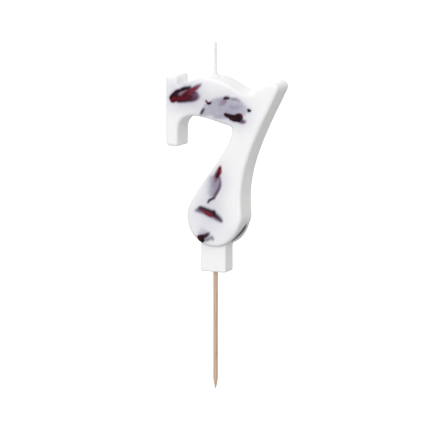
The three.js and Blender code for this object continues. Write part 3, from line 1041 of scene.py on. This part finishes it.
@dataclass
class WaxNumeral:
    """The poured casting: numeral, peg and the small cone at the wick's foot, in one skin."""

    node: str = "wax_numeral"
    outline_depth: float = 1.35  # how far behind the front its outline is taken, clear of the petals' pockets
    draft: float = 0.39  # how much larger the back's outline is
    front_rounding: float = 1.5
    peg_section: float = 6.0  # how far above the underside the peg's outline is taken
    peg_height: float = 14.0
    peg_bevel: float = 0.5
    crest_band: Pair = (3.0, 4.0)  # from the wick, where the crest ends and where the wax beside it ends
    cone_height: float = 4.4
    cone_top: float = 0.66
    cone_base: float = 1.8
    cone_flare: float = 2.6
    cone_sunk: float = 0.35  # how far below the crest it starts to narrow
    cone_root: float = 1.6  # how far below the crest it ends
    cone_steps: int = 9
    cone_sides: int = 28
    voxel: float = 0.32
    relax_rounds: int = 4
    sway: float = 0.05
    sway_sizes: Pair = (7.0, 2.4)
    fine_sway: float = 0.45
    rays: int = 14
    ray_seed: int = 7
    ray_lift: float = 0.3  # how far above the wax a ray starts
    ray_spread: float = 0.16  # how far to the side it starts at most
    ray_lean: float = 0.55  # its furthest lean, as a slope
    ray_stretch: float = 1.12  # how much longer its way down to the wax is for leaning
    tint_reach: float = 2.2
    reach_margin: float = 1.2
    halo_steps: int = 400
    thin: str = "#d6d6d8"  # painted shade: the cone's wax is drawn this grey so that the thin cone shows no brighter than the front
    # how much of that painted shade the cone gets
    cone_shade_share: float = 0.55

    def build(self, cad: bpy.types.Mesh, material: bpy.types.Material) -> bpy.types.Object:
        """Rebuild the casting as one skin without the CAD's petal pockets.

        Args:
            cad: The CAD node's mesh.
            material: The wax finish.

        Returns:
            The casting's object.
        """
        low, high = node_box(self.node)
        body = cut_section(cad, Vector((0, low.y + self.outline_depth, 0)) * MM, Vector((0, 1, 0)))
        for vertex in extrude_to(body, 1, low.y, high.y):
            outward = Vector((vertex.normal.x, 0, vertex.normal.z)).normalized()
            vertex.co += outward * self.draft * MM
        walls = self._walls(body)
        whole = bmesh.new()
        for block in (self._peg(cad, low.z), self._cone(body), body):
            spare = bpy.data.meshes.new("block")
            block.to_mesh(spare)
            block.free()
            whole.from_mesh(spare)
            bpy.data.meshes.remove(spare)
        piece = self._melt(whole, material)
        self._soften(piece.data, walls, low.y * MM)
        return piece

    def _walls(self, body: bmesh.types.BMesh) -> BVHTree:
        """Make a search tree of the numeral's side walls, without its flat faces.

        Args:
            body: The numeral's block.

        Returns:
            The search tree.
        """
        steepest = 0.5
        body.verts.index_update()
        points = [vertex.co.copy() for vertex in body.verts]
        sides = [face for face in body.faces if abs(face.normal.y) < steepest]
        return BVHTree.FromPolygons(points, [tuple(v.index for v in face.verts) for face in sides])

    def _peg(self, cad: bpy.types.Mesh, bottom: float) -> bmesh.types.BMesh:
        """Extrude the peg's section from the underside into the bowl, with a softened lower edge.

        Args:
            cad: The CAD node's mesh.
            bottom: The underside's height.

        Returns:
            The peg's block.
        """
        bm = cut_section(cad, Vector((0, 0, bottom + self.peg_section)) * MM, Vector((0, 0, 1)))
        top = set(extrude_to(bm, 2, bottom, bottom + self.peg_height))
        foot = [edge for edge in bm.edges if not top & set(edge.verts)]
        offset = self.peg_bevel * MM
        bmesh.ops.bevel(bm, geom=foot, offset=offset, segments=3, profile=0.5, affect="EDGES", material=-1)
        return bm

    def _cone(self, body: bmesh.types.BMesh) -> bmesh.types.BMesh:
        """Spin the cone that the wax draws up round the wick, on the crest at x = 0.

        Args:
            body: The numeral's block.

        Returns:
            The cone's block.
        """
        near = self.crest_band[0] * MM
        crest = max(vertex.co.z for vertex in body.verts if abs(vertex.co.x) < near) / MM
        bm = bmesh.new()
        chain = [bm.verts.new(Vector((self.cone_base, 0, crest - self.cone_root)) * MM)]
        for step in range(self.cone_steps):
            share = step / (self.cone_steps - 1)
            radius = self.cone_top + (self.cone_base - self.cone_top) * (1 - share) ** self.cone_flare
            height = crest - self.cone_sunk + (self.cone_height + self.cone_sunk) * share
            chain.append(bm.verts.new(Vector((radius, 0, height)) * MM))
        spin_solid(bm, chain, self.cone_sides)
        return bm

    def _melt(self, blocks: bmesh.types.BMesh, material: bpy.types.Material) -> bpy.types.Object:
        """Melt the blocks into one skin.

        Args:
            blocks: The blocks, which are freed.
            material: The wax finish.

        Returns:
            The casting's object.
        """
        rough = to_object("wax_rough", blocks, material)
        melt = rough.modifiers.new("melt", "REMESH")
        melt.mode = "VOXEL"
        melt.voxel_size = self.voxel * MM
        melt.adaptivity = 0
        graph = bpy.context.evaluated_depsgraph_get()
        skin = bpy.data.meshes.new_from_object(rough.evaluated_get(graph))
        bpy.data.objects.remove(rough)
        skin.name = "wax_casting"
        skin.shade_smooth()
        skin.materials.clear()
        skin.materials.append(material)
        return link_object("wax_casting", skin)

    def _soften(self, mesh: bpy.types.Mesh, walls: BVHTree, front: float) -> None:
        """Round the front edge, relax the voxel steps, and let the surface sway as poured wax does.

        Args:
            mesh: The remeshed casting.
            walls: The numeral's side walls before rounding.
            front: The front face's y, in metres.
        """
        bm = bmesh.new()
        bm.from_mesh(mesh)
        radius = self.front_rounding * MM
        for vertex in bm.verts:
            if vertex.co.y - front < radius:
                self._round(vertex, walls, front, radius)
        for _ in range(self.relax_rounds):
            bmesh.ops.smooth_vert(
                bm, verts=bm.verts[:], factor=0.5, use_axis_x=True, use_axis_y=True, use_axis_z=True
            )
        bm.normal_update()
        broad, fine = self.sway_sizes
        for vertex in bm.verts:
            wave = noise.noise(vertex.co / (broad * MM))
            wave += self.fine_sway * noise.noise(vertex.co / (fine * MM))
            vertex.co += vertex.normal * self.sway * wave * MM
        bm.to_mesh(mesh)
        bm.free()
        mesh.shade_smooth()

    def _round(self, vertex: bmesh.types.BMVert, walls: BVHTree, front: float, radius: float) -> None:
        """Bring a vertex near the front edge onto the rounding, all in metres.

        Args:
            vertex: The vertex.
            walls: The numeral's side walls before rounding.
            front: The front face's y.
            radius: The rounding's radius.
        """
        probe_depth, on_wall, least = 0.5 * MM, 0.03 * MM, 1e-9
        probe = Vector((vertex.co.x, front + probe_depth, vertex.co.z))
        spot, normal, _, _ = walls.find_nearest(probe)
        inward = Vector((probe.x - spot.x, 0, probe.z - spot.z))
        inside = inward.length if inward.dot(normal) < 0 else 0.0
        if inside >= radius:
            return
        heading = (inward if inside > on_wall else Vector((-normal.x, 0, -normal.z))).normalized()
        arm = Vector((inside - radius, max(vertex.co.y - front, 0.0) - radius))
        arm *= radius / max(arm.length, least)
        vertex.co += heading * (arm.x + radius - inside)
        vertex.co.y = front + radius + arm.y

    def tint(self, piece: bpy.types.Object, sheets: Sheets, finish: DriedPetal, stain: Stain) -> None:
        """Colour the wax by what shows through it, and paint shade onto the cone at the wick's foot.

        Args:
            piece: The casting.
            sheets: The petals in it.
            finish: The petals' colours.
            stain: What the wax makes of them.
        """
        mesh = piece.data
        colours = self._shine_through(mesh, sheets, finish, stain)
        halo = self._diffuse(mesh, colours[:, 3])
        halo *= 1 - colours[:, 3]
        colours[:, :3] += rgb(stain.lilac) * halo[:, None]
        colours[:, 3] += halo
        # Painted shade: the wax above the crest, which is the cone at the wick's foot, is mixed towards a
        # grey so that it shows no brighter than the front.
        heights = np.array([vertex.co.z for vertex in mesh.vertices]) / MM
        near, far = (reach * MM for reach in self.crest_band)
        crest = max(vertex.co.z for vertex in mesh.vertices if near < abs(vertex.co.x) < far) / MM
        painted_cone_shade = self.cone_shade_share * np.clip(heights - crest, 0, 1)
        colours[:, :3] += rgb(self.thin) * painted_cone_shade[:, None]
        colours[:, 3] += painted_cone_shade
        least = 1e-6
        seen = colours[:, 3] > least
        colours[seen, :3] /= colours[seen, 3:]
        colours[~seen, :3] = rgb(stain.lilac)
        layer = mesh.color_attributes.new("petal_tint_and_cone_shade", "FLOAT_COLOR", "POINT")
        layer.data.foreach_set("color", colours.ravel())

    def _shine_through(
        self, mesh: bpy.types.Mesh, sheets: Sheets, finish: DriedPetal, stain: Stain
    ) -> np.ndarray:
        """Look from each vertex into the wax, and gather what is under it.

        Args:
            mesh: The casting's mesh.
            sheets: The petals in it.
            finish: The petals' colours.
            stain: What the wax makes of them.

        Returns:
            For each vertex red, green and blue, weighted by how much shows, and that weight.
        """
        dice = random.Random(self.ray_seed)
        rays = [(dice.uniform(0, 2 * math.pi), math.sqrt(dice.random())) for _ in range(self.rays)]
        tree = BVHTree.FromPolygons(sheets.points, sheets.faces)
        petals = [finish.colour(tone) for tone in sheets.tones]
        colours = np.zeros((len(mesh.vertices), 4))
        reach = self.tint_reach * MM
        lift = self.ray_lift * MM
        for vertex in mesh.vertices:
            if tree.find_nearest(vertex.co, reach * self.reach_margin)[0] is None:
                continue
            normal = vertex.normal
            side = normal.orthogonal().normalized()
            other = normal.cross(side)
            for angle, spread in rays:
                tilt = (side * math.cos(angle) + other * math.sin(angle)) * spread
                start = vertex.co + normal * lift + tilt * self.ray_spread * MM
                _, _, index, distance = tree.ray_cast(start, tilt * self.ray_lean - normal, reach + lift)
                if index is None:
                    continue
                depth = max(distance - lift * self.ray_stretch, 0.0) / MM
                share = stain.share(depth)
                colours[vertex.index, :3] += share * stain.look(depth, petals[index], sheets.blushes[index])
                colours[vertex.index, 3] += share
        return colours / len(rays)

    def _diffuse(self, mesh: bpy.types.Mesh, amount: np.ndarray) -> np.ndarray:
        """Spread an amount over the surface, as light spreads in milky wax.

        Args:
            mesh: The surface.
            amount: One number for each vertex.

        Returns:
            The spread numbers.
        """
        ends = np.empty(len(mesh.edges) * 2, dtype=np.int64)
        mesh.edges.foreach_get("vertices", ends)
        first, second = ends.reshape(-1, 2).T
        count = len(amount)
        degree = np.bincount(first, minlength=count) + np.bincount(second, minlength=count)
        spread = amount.copy()
        for _ in range(self.halo_steps):
            gained = np.bincount(first, spread[second], count) + np.bincount(second, spread[first], count)
            spread = gained / degree
        return spread


# ---------------------------------------------------------------- wick and pick


@dataclass
class CottonWick:
    """Three primed strands twisted into a wick that stands straight."""

    node: str = "cotton_wick"
    strands: int = 3
    pitch: float = 4.2
    strand_radius: float = 0.37
    sides: int = 12
    step: float = 0.3
    swell: float = 0.01
    swells: Pair = (61.0, 23.0)  # how often a strand swells and thins, in radians over its length

    def build(self, material: bpy.types.Material) -> bpy.types.Object:
        """Extrude each strand along its helix inside the CAD wick's box.

        Args:
            material: The wick's finish.

        Returns:
            The wick's object.
        """
        low, high = node_box(self.node)
        radius = (high.x - low.x) / 2 - self.strand_radius
        steps = round((high.z - low.z) / self.step)
        rise = (high.z - low.z) / steps
        turn = Matrix.Rotation(2 * math.pi * rise / self.pitch, 3, "Z")
        bm = bmesh.new()
        for strand in range(self.strands):
            phase = 2 * math.pi * strand / self.strands
            foot = Vector((math.cos(phase) * radius, math.sin(phase) * radius, low.z)) * MM
            size = self.strand_radius * MM
            ring = bmesh.ops.create_circle(bm, cap_ends=True, segments=self.sides, radius=size)["verts"]
            bmesh.ops.translate(bm, verts=ring, vec=foot)
            rim = [edge for edge in bm.edges if edge.is_boundary]
            for number in range(steps):
                ring = new_vertices(bmesh.ops.extrude_edge_only(bm, edges=rim))
                rim = [edge for edge in bm.edges if edge.is_boundary]
                bmesh.ops.rotate(bm, verts=ring, cent=(0, 0, 0), matrix=turn)
                bmesh.ops.translate(bm, verts=ring, vec=(0, 0, rise * MM))
                self._swell(ring, number / steps)
            bmesh.ops.contextual_create(bm, geom=rim)
        bmesh.ops.recalc_face_normals(bm, faces=bm.faces[:])
        return to_object("twisted_wick", bm, material)

    def _swell(self, ring: list[bmesh.types.BMVert], share: float) -> None:
        """Swell or thin a ring slightly, as spun cotton does.

        Args:
            ring: The ring's vertices.
            share: Where along the strand it is, from 0 to 1.
        """
        centre = sum((vertex.co for vertex in ring), Vector()) / len(ring)
        swell = 1 + self.swell * math.sin(share * self.swells[0]) * math.cos(share * self.swells[1])
        for vertex in ring:
            vertex.co = centre + (vertex.co - centre) * swell


@dataclass
class WoodenPick:
    """A turned, double-pointed pick."""

    node: str = "wooden_pick"
    tip_length: float = 5.5
    tip_radius: float = 0.12
    tip_curve: float = 0.9
    tip_steps: int = 14
    shaft_steps: int = 40
    segments: int = 32
    fibre_relief: float = 0.02
    fibre_length: float = 9.0
    fibres_round: float = 2.5

    def build(self, material: bpy.types.Material) -> bpy.types.Object:
        """Spin the pick's profile inside the CAD pick's box, and raise a few fibres.

        Args:
            material: The pick's finish.

        Returns:
            The pick's object.
        """
        low, high = node_box(self.node)
        radius = (high.x - low.x) / 2 - self.fibre_relief
        tip = [self.tip_length * step / self.tip_steps for step in range(self.tip_steps + 1)]
        shaft = high.z - low.z - 2 * self.tip_length
        heights = [low.z + rise for rise in tip]
        heights += [heights[-1] + shaft * step / self.shaft_steps for step in range(1, self.shaft_steps)]
        heights += [high.z - rise for rise in reversed(tip)]
        bm = bmesh.new()
        chain = []
        for height in heights:
            from_tip = min(height - low.z, high.z - height, self.tip_length) / self.tip_length
            width = between((self.tip_radius, radius), math.sin(from_tip * math.pi / 2) ** self.tip_curve)
            chain.append(bm.verts.new(Vector((width, 0, height)) * MM))
        spin_solid(bm, chain, self.segments)
        for vertex in bm.verts:
            out = Vector((vertex.co.x, vertex.co.y, 0)).normalized()
            around = out * self.fibres_round
            grain = noise.noise(Vector((around.x, around.y, vertex.co.z / (self.fibre_length * MM))))
            vertex.co += out * self.fibre_relief * grain * MM
        return to_object("turned_pick", bm, material)


# ---------------------------------------------------------------- studio


@dataclass(frozen=True)
class Lamp:
    """A broad soft lamp, far off, with its strength in watts per square metre and its angles in degrees."""

    name: str
    strength: float
    azimuth: float
    elevation: float
    breadth: float = 40.0


@dataclass
class Studio:
    """An even white room with a lamp in front, a weaker one behind, and a long-lens camera."""

    azimuth: float = 25.0
    elevation: float = 10.0
    width_seen: float = 193.5
    aim_right: float = -0.27
    aim_up: float = 25.2
    lens: float = 900.0
    sensor: float = 36.0
    clip: Pair = (0.05, 20.0)  # in metres
    ambient: float = 0.815
    room_tone: str = "#fffff9"
    lamps: tuple[Lamp, ...] = (Lamp("key", 1.55, 8.0, 12.0), Lamp("fill", 0.8, 205.0, 10.0))
    floor_half: float = 4.0  # in metres
    floor_bounce: str = "#a2a2a2"
    floor_glow: float = 0.2

    def build(self, floor_z: float) -> None:
        """Make the floor, the world, the lamps and the camera.

        Args:
            floor_z: The height of the floor in metres.
        """
        bpy.context.scene.view_settings.view_transform = "Standard"
        self._floor(floor_z)
        self._world()
        for lamp in self.lamps:
            light = bpy.data.lights.new(lamp.name, "SUN")
            light.energy = lamp.strength
            light.angle = math.radians(lamp.breadth)
            hung = link_object(lamp.name, light)
            self._aim(hung, self._toward(lamp.azimuth, lamp.elevation))
        self._camera()

    def _floor(self, floor_z: float) -> None:
        """Lay the floor, which shows as white where the background does, and keeps the object's shadow.

        Args:
            floor_z: Its height in metres.
        """
        paint = new_material("white_sweep")
        add = partial(add_node, paint)
        seen = shows_background(paint)
        inputs = {"Factor": seen, "A": linear(self.floor_bounce), "B": linear(WHITE)}
        colour = add("ShaderNodeMix", inputs, data_type="RGBA")
        glow = add("ShaderNodeMath", {0: seen, 1: self.floor_glow}, operation="MULTIPLY")
        inputs = {
            "Base Color": colour.outputs["Result"],
            "Roughness": 0.9,
            "Specular IOR Level": 0.0,
            "Emission Color": linear(WHITE),
            "Emission Strength": glow.outputs["Value"],
        }
        shader = add("ShaderNodeBsdfPrincipled", inputs)
        add("ShaderNodeOutputMaterial", {"Surface": shader.outputs["BSDF"]})
        bm = bmesh.new()
        bmesh.ops.create_grid(bm, x_segments=4, y_segments=4, size=self.floor_half)
        bmesh.ops.translate(bm, verts=bm.verts[:], vec=(0, 0, floor_z))
        to_object("floor", bm, paint)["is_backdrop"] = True

    def _world(self) -> None:
        """Light evenly from all round, and show white where the background shows."""
        world = bpy.data.worlds.new("soft_room")
        world.use_nodes = True
        world.node_tree.nodes.clear()
        add = partial(add_node, world)
        seen = shows_background(world)
        strength = add("ShaderNodeMapRange", {"Value": seen, "To Min": self.ambient, "To Max": 1.0})
        inputs = {"Factor": seen, "A": linear(self.room_tone), "B": linear(WHITE)}
        colour = add("ShaderNodeMix", inputs, data_type="RGBA")
        inputs = {"Color": colour.outputs["Result"], "Strength": strength.outputs["Result"]}
        light = add("ShaderNodeBackground", inputs)
        add("ShaderNodeOutputWorld", {"Surface": light.outputs["Background"]})
        bpy.context.scene.world = world

    def _camera(self) -> None:
        """Stand the camera right of the front and a little above, far enough off to see nearly parallel."""
        turn = math.radians(self.azimuth)
        right = Vector((math.cos(turn), math.sin(turn), 0))
        back = self._toward(self.azimuth, self.elevation)
        up = back.cross(right)
        data = bpy.data.cameras.new("camera")
        data.lens = self.lens
        data.sensor_width = self.sensor
        data.clip_start, data.clip_end = self.clip
        distance = self.width_seen * self.lens / self.sensor
        camera = link_object("camera", data)
        camera.location = (right * self.aim_right + up * self.aim_up + back * distance) * MM
        self._aim(camera, back)
        bpy.context.scene.camera = camera

    def _toward(self, azimuth: float, elevation: float) -> Vector:
        """Return the direction from the object to an azimuth and an elevation in degrees."""
        turn, rise = math.radians(azimuth), math.radians(elevation)
        return Vector((math.sin(turn) * math.cos(rise), -math.cos(turn) * math.cos(rise), math.sin(rise)))

    def _aim(self, thing: bpy.types.Object, back: Vector) -> None:
        """Turn a lamp or a camera so that it looks against a direction."""
        thing.rotation_mode = "QUATERNION"
        thing.rotation_quaternion = back.to_track_quat("Z", "Y")


# ---------------------------------------------------------------- the candle


def main() -> None:
    """Build the candle around its frame."""
    logging.basicConfig(level=logging.INFO, format="%(name)s: %(message)s")
    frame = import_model()
    cad_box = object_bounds()
    Studio().build(cad_box[0].z)

    numeral = WaxNumeral()
    casting = numeral.build(frame["nodes"][numeral.node].data, CastWax().make())
    graph = bpy.context.evaluated_depsgraph_get()
    low, high = node_box(numeral.node)
    skin = WaxSkin(BVHTree.FromObject(casting, graph), Bowl(), low.y, high.y)

    finish = DriedPetal()
    petal_material = finish.make()
    sheets = Sheets()
    for petal in (*seen_petals(), *hidden_petals()):
        enlist(petal.build(skin, sheets, petal_material), "dried_petal", petal.node)
    numeral.tint(casting, sheets, finish, Stain())
    enlist(casting, "wax", numeral.node)

    wick = CottonWick()
    enlist(wick.build(PrimedCotton().make()), "cotton", wick.node)
    pick = WoodenPick()
    enlist(pick.build(BareBirch().make()), "birch", pick.node)


if __name__ == "__main__":
    main()
